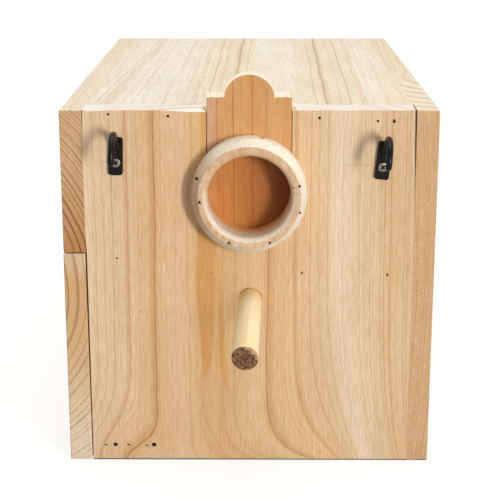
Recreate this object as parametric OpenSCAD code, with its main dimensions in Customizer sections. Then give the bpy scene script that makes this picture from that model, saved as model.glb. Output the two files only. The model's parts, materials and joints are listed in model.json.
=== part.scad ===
// Wooden nest box for a parrot: butt-jointed boards, a shutter that slides in a grooved slot
// behind a turned entrance ring, a perch, two hanging hooks, and a top-hung inspection flap
// in the left side.  X runs across the front, +Y from front to back, +Z up.  The origin is
// the middle of the underside.

/* [Box] */
// Width over the side boards
box_w = 200; // [160:1:300]
// Height of the box
box_h = 199; // [165:1:300]
// Depth from front face to back face
box_d = 300; // [150:1:400]
// Thickness of the side, top, bottom and back boards
board_t = 12; // [10:0.5:15]
// Thickness of the front board, which holds the shutter
front_t = 18; // [15:0.5:24]
// Height of the front board's lower edge above the floor
front_lift = 0.8; // [0:0.1:2]
// Width of the open joint at the front board's upper right edge
warp_gap = 0.7; // [0:0.1:1]
// Length of that open joint
warp_len = 55; // [20:1:80]

/* [Entrance] */
// Bore of the entrance
hole_d = 44; // [34:1:53]
// Distance of the entrance's centre below the top of the box
hole_drop = 44; // [38:1:60]
// Width of the ring's wood round the bore
ring_wall = 9; // [8:0.5:12]
// How far the ring stands off the front
ring_t = 14; // [8:0.5:20]
// Width of the bevel round the ring's outer edge
ring_bevel = 3.7; // [1:0.1:4]
// Depth of that bevel
ring_bevel_t = 5; // [2:0.1:6]
// Radius of the roundover at the mouth of the bore
ring_round = 3.2; // [1:0.1:3.5]

/* [Shutter] */
// Wood left behind the shutter's slot
slot_web = 4.5; // [3:0.5:5]
// How far the slot's straight sides lie outside the bore
slot_side = 0.7; // [0.5:0.1:3]
// How far the shutter's pointed edges stand out on each side
tongue = 2.1; // [1:0.1:3]
// Running clearance of the shutter in its slot
slide_gap = 0.4; // [0.2:0.05:0.8]
// How far the shutter's face lies behind the front face
face_gap = 0.3; // [0.1:0.1:1]
// Height of the shutter's shoulders above the top of the box
shoulder_h = 7.8; // [4:0.1:20]
// Radius of its arched handle
arch_r = 13.5; // [8:0.5:16]
// Rise of the arch above the shoulders
arch_rise = 11; // [6:0.5:14]
// How far it is cut back behind the ring and below
shutter_rebate = 6.5; // [5.5:0.1:7]
// How far the shutter laps the bore below
shutter_lap = 4; // [2:0.5:6]
// How far the cut-back laps the bore above, hidden by the ring
rebate_lap = 2; // [1:0.5:4]

/* [Perch] */
// Diameter of the perch at the front board
perch_d = 12.7; // [8:0.1:16]
// How much thicker its free end is
perch_flare = 1; // [0:0.1:3]
// How far the perch stands out
perch_len = 64; // [40:1:100]
// Distance of the perch below the entrance's centre, at the front board
perch_drop = 59.8; // [48:0.1:70]
// Distance of the perch to the right of the middle, at the front board
perch_shift = 0.6; // [-10:0.1:10]
// Downward slope of the perch in degrees
perch_slope = 8.8; // [0:0.1:12]
// Sideways lean of the perch in degrees, to the left
perch_lean = 2.2; // [0:0.1:5]
// Wood left behind the perch's blind hole, along the hole
perch_web = 5; // [3.5:0.5:8]

/* [Hooks] */
// Distance between the hooks' screws
hook_pitch = 141; // [110:1:150]
// Distance of the left hook's screw below the top of the box
left_hook_drop = 27.8; // [26:0.1:36]
// Distance of the right hook's screw below the top of the box
right_hook_drop = 30; // [26:0.1:36]
// Width of a hook's plate
hook_plate_w = 7.6; // [6.5:0.1:12]
// Height of a hook's plate
hook_plate_h = 20.6; // [19:0.1:26]
// How far the plate reaches below its screw
hook_plate_low = 6.8; // [5:0.1:8]
// Thickness of a hook's plate
hook_plate_t = 2; // [1.5:0.1:3]
// Radius of the plate's corners
hook_corner = 1.6; // [0.5:0.1:3]
// Diameter of a hook's rod
hook_rod_d = 3.4; // [3:0.1:4.6]
// How deep the rod is moulded into the plate
hook_sunk = 0.6; // [0.3:0.1:1]
// Distance of the rod's bend below the plate's upper edge
hook_bend = 7.2; // [4:0.1:7.5]
// Length of the rod that is moulded to the plate
hook_root = 3.4; // [2.5:0.1:4]
// Distance between the middles of a hook's two legs
hook_reach = 21.5; // [12:0.5:24]
// Length of a hook's hanging leg below its bend
hook_leg = 1.5; // [1:0.5:12]
// Tilt of the left hook in degrees
left_hook_tilt = 1.5; // [-6:0.5:6]
// Tilt of the right hook in degrees
right_hook_tilt = 5.5; // [-6:0.5:6]

/* [Flap] */
// Height of the joint between the two left boards
flap_h = 120.9; // [90:0.1:130]
// Width of that joint
flap_joint = 0.6; // [0.4:0.1:1.5]
// Gap between the flap and the boards that it closes on
flap_gap = 0.4; // [0.3:0.1:1]
// How much thinner the flap is than the other boards
flap_planed = 0.2; // [0:0.1:1]
// Clearance of the flap above the floor
flap_lift = 0.9; // [0.8:0.1:2]
// Diameter of the knob
knob_d = 14; // [10:0.5:18]
// How far the knob stands out
knob_len = 13; // [10:0.5:18]
// Length of its screw inside the knob
knob_screw = 7.5; // [5:0.5:8]
// Height of the knob above the floor
knob_z = 24; // [15:1:40]

/* [Hinges] */
// Length of a hinge
hinge_len = 25; // [20:1:40]
// Width of a hinge leaf
leaf_w = 11; // [9:0.5:16]
// Thickness of a hinge leaf
leaf_t = 1; // [0.8:0.1:1.5]
// Outer diameter of the knuckles
knuckle_d = 3.8; // [3.4:0.1:5]
// Diameter of the hinge pin
pin_d = 1.8; // [1.5:0.1:2.2]
// Running clearance round the pin in the flap's knuckle
pin_gap = 0.1; // [0.05:0.05:0.2]
// How far the knuckles stand clear of the box's side
pin_clear = 0.5; // [0.3:0.1:0.6]
// End play between knuckles
knuckle_gap = 0.3; // [0.1:0.1:0.5]
// Clearance of each leaf round the other leaf's knuckle
leaf_clear = 0.35; // [0.2:0.05:0.6]
// Distance of a leaf's screws from its ends
screw_inset = 5.5; // [4:0.5:7]
// Distance of each hinge's middle from the end of the flap
hinge_inset = 50; // [30:1:60]

/* [Screws] */
// Head diameter of the hook screws
hook_head_d = 4.8; // [4:0.1:6]
// Head diameter of the hinge screws
hinge_head_d = 4.4; // [3.6:0.1:5]
// Shank diameter of every screw
shank_d = 2.4; // [2:0.1:3]
// Length of a screw in the wood
screw_len = 8; // [5:0.5:8.5]

/* [Hidden] */
$fn = 64;
eps = 0.01;                                  // overlap of a cutter past a face
through = 1;                                 // overlap of a cutter that passes right through
seat_gap = 0.05;                             // radial clearance of a glued or screwed seat
front_y = -box_d / 2;                        // front face
back_y = box_d / 2;                          // back face
inner_x = box_w / 2 - board_t;               // inner face of the side boards
hole_r = hole_d / 2;
hole_z = box_h - hole_drop;                  // height of the entrance's centre
ring_r = hole_r + ring_wall;                 // outer radius of the ring
// The slot's pointed groove: where its slant starts and where its tip lies, behind the front.
lip_depth = 1.6;
tip_depth = 5;
slot_depth = front_t - slot_web;
slot_half = hole_r + slot_side;
shutter_half = slot_half - slide_gap;
shutter_t = slot_depth - face_gap - slide_gap;
pocket_z = hole_z - hole_r - shutter_lap;    // floor of the slot
shutter_z = pocket_z + slide_gap;            // lower end of the shutter, closed
shoulder_z = box_h + shoulder_h;
perch_seat = front_t - perch_web;            // depth of the perch's blind hole
// Hinge pins lie on the joint between the two left boards, clear of their outer face.
pin_x = -box_w / 2 - knuckle_d / 2 - pin_clear;
flap_t = board_t - flap_planed;
flap_face_x = -inner_x - flap_gap - flap_t;  // outer face of the flap
flap_top = flap_h - flap_joint / 2;
hinge_ys = [front_y + hinge_inset, back_y - hinge_inset];
knuckle_len = (hinge_len - 2 * knuckle_gap) / 3;
screw_rise = (leaf_w + knuckle_d / 2) / 2;   // height of a hinge screw from the pin
screw_pitch = hinge_len - 2 * screw_inset;   // distance between a leaf's two screws

// ---- Wood -------------------------------------------------------------------------------

// Half width, at a depth behind the face, of a section with a straight lip, then a V whose
// tip stands out by point, then a slant back to the lip's width at the back.
function v_half(depth, half, back) =
    depth <= tip_depth
        ? half + tongue * max(0, depth - lip_depth) / (tip_depth - lip_depth)
        : half + tongue * (back - depth) / (back - tip_depth);

// That section from a depth to the back, as an outline with its face on y = 0.
module v_section(half, from, back) {
    depths = [for (d = [from, lip_depth, tip_depth, back]) if (d >= from) d];
    right = [for (d = depths) [v_half(d, half, back), d]];
    polygon(concat(right, [for (i = [len(right) - 1:-1:0]) [-right[i][0], right[i][1]]]));
}

module slot() {
    cut_depth = shutter_rebate + face_gap - slide_gap;
    translate([0, front_y, hole_z])
        linear_extrude(box_h - hole_z + through)
            union() {
                v_section(slot_half, 0, slot_depth);
                translate([-slot_half, -through]) square([2 * slot_half, through + eps]);
            }
    translate([0, front_y, pocket_z])
        linear_extrude(hole_z - pocket_z + eps) v_section(slot_half, cut_depth, slot_depth);
    translate([0, front_y - through, hole_z])
        rotate([-90, 0, 0]) cylinder(h = front_t + 2 * through, r = hole_r);
}

module perch_place() {
    translate([perch_shift, front_y, hole_z - perch_drop])
        rotate([0, 0, -perch_lean]) rotate([90 + perch_slope, 0, 0]) children();
}

module front_board() {
    color("burlywood") difference() {
        translate([0, front_y + front_t, 0]) rotate([90, 0, 0])
            linear_extrude(front_t) polygon([
                [-inner_x, front_lift], [inner_x, front_lift],
                [inner_x, box_h - warp_len], [inner_x - warp_gap, box_h],
                [-inner_x, box_h]]);
        slot();
        perch_place() translate([0, 0, -perch_seat])
            cylinder(h = perch_seat + perch_d, d = perch_d + 2 * seat_gap);
        for (side = [-1, 1]) hook_place(side) screw_hole(hook_head_d, hook_plate_t);
    }
}

module side_board(x, z0, z1) {
    translate([x, front_y, z0]) cube([board_t, box_d, z1 - z0]);
}

module left_upper_board() {
    color("tan") difference() {
        side_board(-box_w / 2, flap_h + flap_joint / 2, box_h);
        for (y = hinge_ys) box_leaf_screws(y) screw_hole(hinge_head_d, leaf_t);
    }
}

module left_flap() {
    color("tan") difference() {
        translate([flap_face_x, front_y, flap_lift]) cube([flap_t, box_d, flap_top - flap_lift]);
        for (y = hinge_ys) flap_leaf_screws(y) screw_hole(hinge_head_d, leaf_t);
        knob_place() translate([0, 0, -screw_len - seat_gap])
            cylinder(h = screw_len + through, d = shank_d + 2 * seat_gap);
    }
}

module right_board() {
    color("tan") side_board(inner_x, 0, box_h);
}

module top_board() {
    color("wheat") translate([-inner_x, front_y + front_t, box_h - board_t])
        cube([2 * inner_x, box_d - front_t, board_t]);
}

module bottom_board() {
    color("wheat") translate([-inner_x, front_y + front_t, 0])
        cube([2 * inner_x, box_d - front_t - board_t, board_t]);
}

module back_board() {
    color("burlywood") translate([-inner_x, back_y - board_t, 0])
        cube([2 * inner_x, board_t, box_h - board_t]);
}

module shutter() {
    color("peru") difference() {
        union() {
            translate([0, front_y + face_gap, shutter_z])
                linear_extrude(shoulder_z - shutter_z) v_section(shutter_half, 0, shutter_t);
            translate([0, front_y + face_gap, shoulder_z + arch_rise - arch_r])
                rotate([-90, 0, 0]) cylinder(h = shutter_t, r = arch_r);
        }
        translate([-box_w / 2, front_y + face_gap - through, shutter_z - through])
            cube([box_w, shutter_rebate + through, hole_z - shutter_z + through]);
        translate([0, front_y + face_gap - through, hole_z]) rotate([-90, 0, 0])
            cylinder(h = shutter_rebate + through, r = hole_r + rebate_lap);
    }
}

module entrance_ring() {
    mouth = [for (a = [0:10:90]) [hole_r + ring_round * (1 - cos(a)),
                                  ring_t - ring_round * (1 - sin(a))]];
    color("bisque") translate([0, front_y, hole_z]) rotate([90, 0, 0])
        rotate_extrude($fn = 128) polygon(concat(
            [[ring_r, 0], [ring_r, ring_t - ring_bevel_t], [ring_r - ring_bevel, ring_t]],
            [for (i = [len(mouth) - 1:-1:0]) mouth[i]],
            [[hole_r, 0]]));
}

module perch() {
    color("moccasin") perch_place() {
        translate([0, 0, seat_gap - perch_seat]) cylinder(h = perch_seat, d = perch_d);
        cylinder(h = perch_len, d1 = perch_d, d2 = perch_d + perch_flare);
    }
}

// ---- Screws -----------------------------------------------------------------------------

// A countersunk screw along -Z, its head flush with the top of a plate that stands on z = 0.
module screw(head_d, plate_t) {
    sink = (head_d - shank_d) / 2;
    translate([0, 0, plate_t - sink]) cylinder(h = sink, d1 = shank_d, d2 = head_d);
    translate([0, 0, -screw_len]) cylinder(h = screw_len + plate_t - sink + eps, d = shank_d);
}

// The hole that such a screw fills, in the plate and in the wood.
module screw_hole(head_d, plate_t) {
    sink = (head_d - shank_d) / 2;
    fit = 2 * seat_gap;
    translate([0, 0, plate_t - sink]) cylinder(h = sink, d1 = shank_d + fit, d2 = head_d + fit);
    translate([0, 0, plate_t - eps]) cylinder(h = through, d = head_d + fit);
    translate([0, 0, -screw_len - seat_gap])
        cylinder(h = screw_len + plate_t, d = shank_d + fit);
}

// ---- Hooks ------------------------------------------------------------------------------

// A hook's own frame: z off the front face, y up, its screw on the axis.
module hook_place(side) {
    tilt = side < 0 ? left_hook_tilt : right_hook_tilt;
    drop = side < 0 ? left_hook_drop : right_hook_drop;
    translate([side * hook_pitch / 2, front_y, box_h - drop])
        rotate([90, 0, 0]) rotate([0, 0, -tilt]) children();
}

module rounded_plate(w, h, t, r) {
    translate([-w / 2 + r, 0, 0]) cube([w - 2 * r, h, t]);
    translate([-w / 2, r, 0]) cube([w, h - 2 * r, t]);
    for (x = [-w / 2 + r, w / 2 - r], y = [r, h - r])
        translate([x, y, 0]) cylinder(h = t, r = r);
}

module hook() {
    rod_r = hook_rod_d / 2;
    bend_y = hook_plate_h - hook_plate_low - hook_bend;
    root_z = hook_plate_t + rod_r - hook_sunk;
    bend_r = hook_reach / 2;
    color([0.1, 0.1, 0.1]) difference() {
        union() {
            translate([0, -hook_plate_low, 0])
                rounded_plate(hook_plate_w, hook_plate_h, hook_plate_t, hook_corner);
            translate([0, bend_y - hook_root, root_z])
                rotate([-90, 0, 0]) cylinder(h = hook_root, r = rod_r);
            translate([0, bend_y, root_z + bend_r]) rotate([0, 90, 0])
                rotate_extrude(angle = 180) translate([bend_r, 0]) circle(r = rod_r);
            translate([0, bend_y - hook_leg, root_z + hook_reach])
                rotate([-90, 0, 0]) cylinder(h = hook_leg, r = rod_r);
            translate([0, bend_y - hook_leg, root_z + hook_reach]) sphere(r = rod_r);
        }
        screw_hole(hook_head_d, hook_plate_t);
    }
}

module left_hook() { hook_place(-1) hook(); }
module right_hook() { hook_place(1) hook(); }
module left_hook_screw() { color("silver") hook_place(-1) screw(hook_head_d, hook_plate_t); }
module right_hook_screw() { color("silver") hook_place(1) screw(hook_head_d, hook_plate_t); }

// ---- Hinges -----------------------------------------------------------------------------

// A leaf in its own frame: pin along Z through the origin, board face at x = face, leaf on
// the +Y side.  The box's leaf has the two end knuckles, the flap's leaf the middle one.
module leaf(face, ends) {
    start = -hinge_len / 2;
    middle = -knuckle_len / 2;
    difference() {
        union() {
            translate([face - leaf_t, 0, start]) cube([leaf_t, leaf_w, hinge_len]);
            translate([0, 0, start]) cylinder(h = hinge_len, d = knuckle_d);
        }
        translate([0, 0, start - through])
            cylinder(h = hinge_len + 2 * through, d = pin_d + 2 * (ends ? seat_gap : pin_gap));
        if (ends) knuckle_space(middle - knuckle_gap, knuckle_len + 2 * knuckle_gap);
        if (!ends) {
            knuckle_space(start - through, knuckle_len + through + knuckle_gap);
            knuckle_space(middle + knuckle_len, knuckle_len + through + knuckle_gap);
        }
        for (z = [-1, 1] * screw_pitch / 2)
            translate([face, screw_rise, z]) rotate([0, -90, 0])
                screw_hole(hinge_head_d, leaf_t);
    }
}

module knuckle_space(z, h) {
    r = knuckle_d / 2 + leaf_clear;
    translate([-r, -r - through, z]) cube([2 * r + leaf_t + through, 2 * r + through, h]);
}

module hinge_place(y) { translate([pin_x, y, flap_h]) rotate([90, 0, 0]) children(); }
module flap_side(y) { hinge_place(y) mirror([0, 1, 0]) children(); }

module box_leaf_screws(y) {
    hinge_place(y) for (z = [-1, 1] * screw_pitch / 2)
        translate([-box_w / 2 - pin_x, screw_rise, z]) rotate([0, -90, 0]) children();
}

module flap_leaf_screws(y) {
    flap_side(y) for (z = [-1, 1] * screw_pitch / 2)
        translate([flap_face_x - pin_x, screw_rise, z]) rotate([0, -90, 0]) children();
}

module box_leaf(y) { color("goldenrod") hinge_place(y) leaf(-box_w / 2 - pin_x, true); }
module flap_leaf(y) { color("goldenrod") flap_side(y) leaf(flap_face_x - pin_x, false); }
module hinge_pin(y) {
    color("silver") hinge_place(y)
        translate([0, 0, -hinge_len / 2]) cylinder(h = hinge_len, d = pin_d);
}
module box_screws(y) { color("silver") box_leaf_screws(y) screw(hinge_head_d, leaf_t); }
module flap_screws(y) { color("silver") flap_leaf_screws(y) screw(hinge_head_d, leaf_t); }

module front_hinge_box_leaf() { box_leaf(hinge_ys[0]); }
module rear_hinge_box_leaf() { box_leaf(hinge_ys[1]); }
module front_hinge_flap_leaf() { flap_leaf(hinge_ys[0]); }
module rear_hinge_flap_leaf() { flap_leaf(hinge_ys[1]); }
module front_hinge_pin() { hinge_pin(hinge_ys[0]); }
module rear_hinge_pin() { hinge_pin(hinge_ys[1]); }
module front_hinge_box_screws() { box_screws(hinge_ys[0]); }
module rear_hinge_box_screws() { box_screws(hinge_ys[1]); }
module front_hinge_flap_screws() { flap_screws(hinge_ys[0]); }
module rear_hinge_flap_screws() { flap_screws(hinge_ys[1]); }

// ---- Knob -------------------------------------------------------------------------------

module knob_place() {
    translate([flap_face_x, 0, knob_z]) rotate([0, -90, 0]) children();
}

module flap_knob() {
    // The turned outline, foot to crown, as shares of the knob's radius and length.
    outline = [[0.62, 0], [0.5, 0.25], [0.6, 0.4], [0.93, 0.55], [1, 0.72], [0.9, 0.88],
               [0.6, 0.97], [0, 1]];
    color("burlywood") knob_place() difference() {
        rotate_extrude() polygon(concat(
            [[0, 0]], [for (p = outline) [p[0] * knob_d / 2, p[1] * knob_len]]));
        translate([0, 0, -eps]) cylinder(h = knob_screw + seat_gap, d = shank_d + 2 * seat_gap);
    }
}

module flap_knob_screw() {
    color("silver") knob_place() translate([0, 0, -screw_len])
        cylinder(h = screw_len + knob_screw, d = shank_d);
}

front_board();
left_upper_board();
left_flap();
right_board();
top_board();
bottom_board();
back_board();
shutter();
entrance_ring();
perch();
left_hook();
right_hook();
left_hook_screw();
right_hook_screw();
front_hinge_box_leaf();
rear_hinge_box_leaf();
front_hinge_flap_leaf();
rear_hinge_flap_leaf();
front_hinge_pin();
rear_hinge_pin();
front_hinge_box_screws();
rear_hinge_box_screws();
front_hinge_flap_screws();
rear_hinge_flap_screws();
flap_knob();
flap_knob_screw();
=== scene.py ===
"""A parrot nest box: pine boards, a shutter in a grooved slot, a turned entrance ring, a
cane perch, two plastic hooks, and a flap on brass hinges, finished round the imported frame."""
import functools
import json
import math
import random

import bmesh
import bpy
from mathutils import Matrix, Vector, noise

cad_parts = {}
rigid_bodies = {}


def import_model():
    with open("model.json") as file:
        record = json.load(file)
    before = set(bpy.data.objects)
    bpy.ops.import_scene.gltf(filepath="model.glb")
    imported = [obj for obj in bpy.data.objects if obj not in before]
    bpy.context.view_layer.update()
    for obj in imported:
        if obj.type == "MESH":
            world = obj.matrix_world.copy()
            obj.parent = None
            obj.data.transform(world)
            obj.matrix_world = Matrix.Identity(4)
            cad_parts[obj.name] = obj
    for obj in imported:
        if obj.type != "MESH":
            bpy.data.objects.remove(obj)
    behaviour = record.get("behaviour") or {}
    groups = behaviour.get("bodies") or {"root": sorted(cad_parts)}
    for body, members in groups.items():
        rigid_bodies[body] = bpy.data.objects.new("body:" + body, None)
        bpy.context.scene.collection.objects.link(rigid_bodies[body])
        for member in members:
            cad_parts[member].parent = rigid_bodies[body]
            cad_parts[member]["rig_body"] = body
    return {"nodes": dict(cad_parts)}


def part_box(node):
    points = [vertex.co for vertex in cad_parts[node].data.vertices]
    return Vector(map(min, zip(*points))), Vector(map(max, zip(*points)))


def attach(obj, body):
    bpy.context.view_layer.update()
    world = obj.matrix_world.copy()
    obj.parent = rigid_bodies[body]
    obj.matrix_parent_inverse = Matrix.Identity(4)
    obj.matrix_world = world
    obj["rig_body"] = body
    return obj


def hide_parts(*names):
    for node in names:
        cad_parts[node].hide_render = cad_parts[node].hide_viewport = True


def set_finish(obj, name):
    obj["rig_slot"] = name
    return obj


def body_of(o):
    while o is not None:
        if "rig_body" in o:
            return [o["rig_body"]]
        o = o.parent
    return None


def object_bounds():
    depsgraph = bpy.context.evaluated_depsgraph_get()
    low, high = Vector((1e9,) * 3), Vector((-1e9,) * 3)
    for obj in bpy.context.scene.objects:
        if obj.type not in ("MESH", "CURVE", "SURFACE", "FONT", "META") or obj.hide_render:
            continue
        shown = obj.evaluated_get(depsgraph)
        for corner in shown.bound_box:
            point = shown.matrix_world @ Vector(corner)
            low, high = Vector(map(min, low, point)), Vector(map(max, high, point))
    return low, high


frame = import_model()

cad_box = [list(corner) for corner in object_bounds()]

# ---- Right side board --------------------------------------------------------------------
# A planed pine board, 12 mm thick, that stands on the floor from front to back.  Its end grain
# shows at the front, sawn far from the heart of the trunk, so its rings are near-upright lines.
# The other boards are glued and nailed to it.

MM = 0.001
weld_mm = 0.002                      # corners of a mesh that lie closer are one
scene_objects = bpy.context.scene.collection.objects


def linear(colour):
    """A sRGB hex colour as the linear red, green, blue and alpha that a shader takes."""
    shares = [int(colour[i:i + 2], 16) / 255 for i in (1, 3, 5)]
    return [s / 12.92 if s <= 0.04045 else ((s + 0.055) / 1.055) ** 2.4 for s in shares] + [1]


def add_node(tree, kind, inputs=(), out=None, stops=(), **settings):
    """Adds a node; "Math:ADD" names its kind and operation.  Each input takes a number, a hex
    colour or another node's output, and a Mix takes two colours and the second one's share.
    Returns the given output, or the first that is in use."""
    kind, _, operation = kind.partition(":")
    node = tree.nodes.new("ShaderNode" + kind)
    if operation:
        setattr(node, "data_type" if kind == "Mix" else "operation", operation)
    for key, value in settings.items():
        setattr(node, key, value)
    order = (6, 7, 0) if kind == "Mix" else range(len(inputs))
    for key, value in inputs.items() if isinstance(inputs, dict) else zip(order, inputs):
        if isinstance(value, bpy.types.NodeSocket):
            tree.links.new(value, node.inputs[key])
        else:
            node.inputs[key].default_value = linear(value) if isinstance(value, str) else value
    for i, (place, colour) in enumerate(stops):
        points = node.color_ramp.elements
        point = points[i] if i < 2 else points.new(place)
        point.position = place
        point.color = linear(colour)
    if out is None:
        return next((output for output in node.outputs if output.enabled), node)
    return node.outputs[out]


def new_material(name):
    """A material without nodes, add_node for its tree, and the place on the object in mm."""
    made = bpy.data.materials.new(name)
    made.use_nodes = True
    made.node_tree.nodes.clear()
    add = functools.partial(add_node, made.node_tree)
    return made, add, add("VectorMath:MULTIPLY", [add("TexCoord", out=3), (1000, 1000, 1000)])


def facing(add, axis):
    """How far a face looks along an axis: 1 along it, -1 against it."""
    return add("SeparateXYZ", [add("TexCoord", out=1)], out=axis)


def grain(add, mm, fineness, detail=2, out=0):
    """A noise with so many grains to the millimetre along each axis."""
    scaled = add("VectorMath:MULTIPLY", [mm, fineness])
    return add("TexNoise", {"Vector": scaled, "Scale": 1, "Detail": detail}, out)


def apart(add, a, b):
    """The distance between two values."""
    return add("Math:ABSOLUTE", [add("Math:SUBTRACT", [a, b])])


def from_axis(add, a, b):
    """The distance of a point from an axis, from the two distances across it."""
    squares = add("Math:MULTIPLY", [a, a])
    return add("Math:SQRT", [add("Math:MULTIPLY_ADD", [b, b, squares])])


def shaded(add, colour, shade, powers):
    """A lighter or darker colour.  Darker wood is also warmer: red falls least, blue most."""
    warm = add("CombineXYZ", [add("Math:POWER", [shade, power]) for power in powers])
    return add("VectorMath:MULTIPLY", [colour, warm])


def pine(name, along, heart, tones, late, ring_mm=3.0, inner=0.0, crowding=1.0, lean=(0, 0),
         tone_by=0, line=0.5, crisp=2.2, end_line=1.6, end_tone_and_painted_light=("#d2a677", 0.8), wander=1.6,
         shiver=0.9, seed=0.0, marked=(), flow=None, marks=None):
    """Planed, unfinished pine.  The rings are tubes round the trunk's heart, so each face of a
    board shows them as its saw cut does: pale early wood, and a dark late line that ends sharply.
    Bare wood is dull: IOR 1.5 and a roughness near 0.6, with a fine bump of fibres.
    The heart and the tones have places in mm across the trunk, and late is the late wood's
    colour.  A marked ring has a radius, a half width and a depth.  Flow bends the rings, and
    marks paints over them."""
    made, add, mm = new_material(name)
    seeded = add("VectorMath:ADD", [mm, (seed, seed, seed)])
    trunk = "XYZ".index(along)
    sides = [i for i in range(3) if i != trunk]

    def pattern(across, length, detail=2, out=0):
        # A noise whose grains are so many millimetres wide and long.
        fineness = [1 / length if i == trunk else 1 / across for i in range(3)]
        return grain(add, seeded, fineness, detail, out)

    # The rings wander slowly along the trunk, and shiver by a fraction of a millimetre.
    bent = seeded
    for push, reach in ((pattern(45, 110, 1, 1), 2 * wander), (pattern(5, 16, 2, 1), shiver)):
        push = add("VectorMath:ADD", [push, (-0.5, -0.5, -0.5)])
        sway = [0 if i == trunk else reach for i in range(3)]
        bent = add("VectorMath:MULTIPLY_ADD", [push, sway, bent])
    bent = add("VectorMath:ADD", [bent, (-seed, -seed, -seed)])
    axes = add("SeparateXYZ", [bent]).node.outputs
    length = axes[trunk]
    off = []
    for i in range(2):
        leant = add("Math:MULTIPLY_ADD", [length, -lean[i], axes[sides[i]]])
        off.append(add("Math:SUBTRACT", [leant, heart[i]]))
    if flow:
        off[0] = flow(add, off[0], length)
    radius = from_axis(add, off[1], off[0])

    # Years of even and uneven growth: the count of rings, and how dark each one's late wood is.
    grown = add("Math:SUBTRACT", [radius, inner])
    grown = add("Math:DIVIDE", [grown, ring_mm])
    grown = add("Math:POWER", [grown, crowding])
    years = add("TexNoise", {"W": grown, "Scale": 0.45, "Detail": 1}, noise_dimensions="1D")
    grown = add("Math:MULTIPLY_ADD", [years, 1.6, grown])
    season = add("Math:FRACT", [grown])
    year = add("Math:FLOOR", [grown])
    rain = add("TexWhiteNoise", {"W": year}, noise_dimensions="1D")
    rain = add("MapRange", [rain, 0.1, 1, 0.25, 1])
    dark = add("MapRange", [season, 0.3, 0.93, 0, 1], interpolation_type="SMOOTHSTEP")
    dark = add("Math:POWER", [dark, crisp])
    edge = add("MapRange", [season, 0.94, 1, 1, 0])
    dark = add("Math:MULTIPLY", [dark, edge])
    dark = add("Math:MULTIPLY", [dark, rain])

    # Sawn ends have a tone of their own, and their rings stand out more.  Where the ends face up,
    # on the front board and the shutter, that tone is nearly white: a painted highlight.
    end = add("Math:ABSOLUTE", [facing(add, trunk)])
    end = add("MapRange", [end, 0.6, 0.85, 0, 1])
    strength = add("MapRange", [end, 0, 1, line, min(1, end_line * line)])
    dark = add("Math:MULTIPLY", [dark, strength])
    for ring_at, half_width, depth in marked:
        gap = add("MapRange", [apart(add, radius, ring_at), 0, half_width, depth, 0])
        dark = add("Math:MAXIMUM", [dark, gap])

    across = add("MapRange", [off[tone_by], tones[0][0], tones[-1][0], 0, 1])
    span = tones[-1][0] - tones[0][0]
    stops = [((at - tones[0][0]) / span, colour) for at, colour in tones]
    colour = add("ValToRGB", [across], stops=stops)
    ends = add("Math:MULTIPLY", [end, end_tone_and_painted_light[1]])
    colour = add("Mix:RGBA", [colour, end_tone_and_painted_light[0], ends])
    # Fibres are drawn a millimetre wide, coarser than real ones, so that they show.
    cloud = add("MapRange", [pattern(14, 60, 3), 0.35, 0.65, 0.96, 1.04])
    fibre = pattern(0.95, 9, 4)
    thread = add("MapRange", [fibre, 0.3, 0.7, 0.9, 1.1])
    streak = add("MapRange", [pattern(1.6, 120, 2), 0.3, 0.7, 0.97, 1.03])
    shade = add("Math:MULTIPLY", [cloud, thread])
    shade = add("Math:MULTIPLY", [shade, streak])
    colour = add("Mix:RGBA", [colour, late, dark])
    colour = shaded(add, colour, shade, (0.8, 1.15, 1.7))
    # Short resin canals, drawn a little wider than the real 0.2 mm so that they show.
    canal = add("MapRange", [pattern(0.7, 4, 1), 0.69, 0.77, 0, 0.4])
    colour = add("Mix:RGBA", [colour, late, canal])
    if marks:
        colour = marks(add, colour, mm, off[0], length)

    rough = add("MapRange", [fibre, 0.3, 0.7, 0.52, 0.68])
    relief = add("Math:MULTIPLY_ADD", [dark, -0.5, fibre])
    bump = add("Bump", {"Height": relief, "Strength": 0.35, "Distance": 0.12 * MM})
    wood = add("BsdfPrincipled", {"Base Color": colour, "Roughness": rough, "IOR": 1.5,
                                  "Specular IOR Level": 0.35, "Normal": bump})
    add("OutputMaterial", [wood])
    return made


def stand_for(piece, node, material):
    """Shows a piece in place of a CAD node, on the node's body and with the node's finish slot."""
    cad = frame["nodes"][node]
    if piece.name not in scene_objects:
        scene_objects.link(piece)
    piece.data.materials.clear()
    piece.data.materials.append(material)
    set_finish(piece, cad.data.materials[0].name)
    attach(piece, body_of(cad)[0])
    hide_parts(node)
    return piece


def cad_mesh(node):
    """A copy of a CAD node's mesh, free of its fixed normals."""
    mesh = frame["nodes"][node].data.copy()
    if "custom_normal" in mesh.attributes:
        mesh.attributes.remove(mesh.attributes["custom_normal"])
    return mesh


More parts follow.
